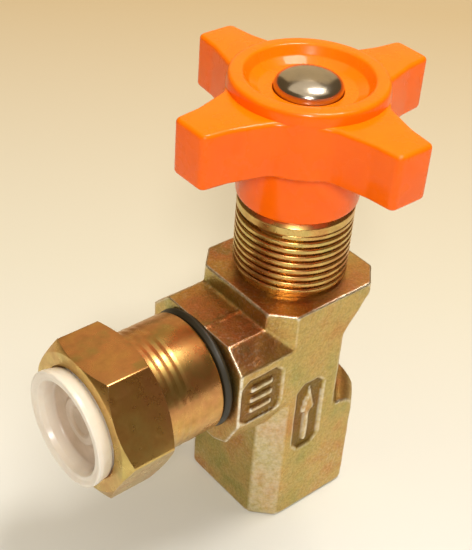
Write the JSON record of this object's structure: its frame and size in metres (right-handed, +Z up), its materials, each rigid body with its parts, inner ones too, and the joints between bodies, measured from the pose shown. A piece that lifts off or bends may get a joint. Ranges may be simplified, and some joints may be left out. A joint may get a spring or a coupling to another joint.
{
  "type": "angle needle valve",
  "caption": "Angle needle valve with a square forged body, a threaded bonnet, a four-arm handle and a swivel nut outlet closed by a plug.",
  "frame": {"origin": "centre of the bottom port's mouth, in the body's bottom face", "axes": "+Z up the spindle to the handle, -X out of the side branch, -Y the face with the flow arrow"},
  "size_m": [0.077, 0.052, 0.0943],
  "materials": {
    "forged_body": "forged and machined, yellow passivated zinc",
    "bonnet_steel": "turned, yellow passivated zinc",
    "nut_steel": "turned and milled, yellow passivated zinc",
    "nipple_steel": "turned, yellow passivated zinc",
    "orange_plastic": "smooth glossy moulding",
    "insert_steel": "turned",
    "washer_steel": "stamped",
    "screw_steel": "zinc plated",
    "cap_steel": "polished",
    "black_rubber": "matt",
    "seal_rubber": "matt",
    "seal_metal": "soft",
    "seat_steel": "ground",
    "needle_steel": "ground",
    "spindle_steel": "turned",
    "spring_steel": "spring steel",
    "packing": "fluoropolymer",
    "gland_brass": "turned",
    "wiper_felt": "felt",
    "milky_plastic": "milky, slightly see-through"
  },
  "bodies": {
    "valve_body": {"body": "forged_body", "seat_insert": "seat_steel", "bonnet": "bonnet_steel", "bonnet_o_ring": "seal_rubber", "packing_washer": "washer_steel", "lower_packing_ring": "packing", "upper_packing_ring": "packing", "packing_follower": "washer_steel", "gland_nut": "gland_brass", "wiper_ring": "wiper_felt", "nipple_seal": "seal_metal", "nipple": "nipple_steel", "cone_o_ring": "seal_rubber", "dust_ring": "black_rubber"},
    "needle": {"needle": "needle_steel"},
    "spindle": {"spindle": "spindle_steel", "needle_retaining_ring": "spring_steel", "handle": "orange_plastic", "handle_insert": "insert_steel", "handle_washer": "washer_steel", "handle_screw": "screw_steel", "dome_cap": "cap_steel"},
    "nut": {"swivel_nut": "nut_steel"},
    "plug": {"protective_plug": "milky_plastic"}
  },
  "joints": [
    {"name": "needle_lift", "type": "slide", "parent": "valve_body", "child": "needle", "axis": [0, 0, 1], "range_m": [0, 0.0045]},
    {"name": "spindle_turn", "type": "hinge", "parent": "needle", "child": "spindle", "pos_m": [0, 0, 0.0388], "axis": [0, 0, 1], "range_deg": [0, 1080]},
    {"name": "nut_swivel", "type": "hinge", "parent": "valve_body", "child": "nut", "pos_m": [-0.036, 0, 0.0388], "axis": [-1, 0, 0], "continuous": true},
    {"name": "plug_pull", "type": "slide", "parent": "nut", "child": "plug", "axis": [-1, 0, 0], "range_m": [0, 0.022]}
  ],
  "couplings": [
    {"joint": "needle_lift", "follows": "spindle_turn", "m_per_rad": 0.00023873}
  ]
}
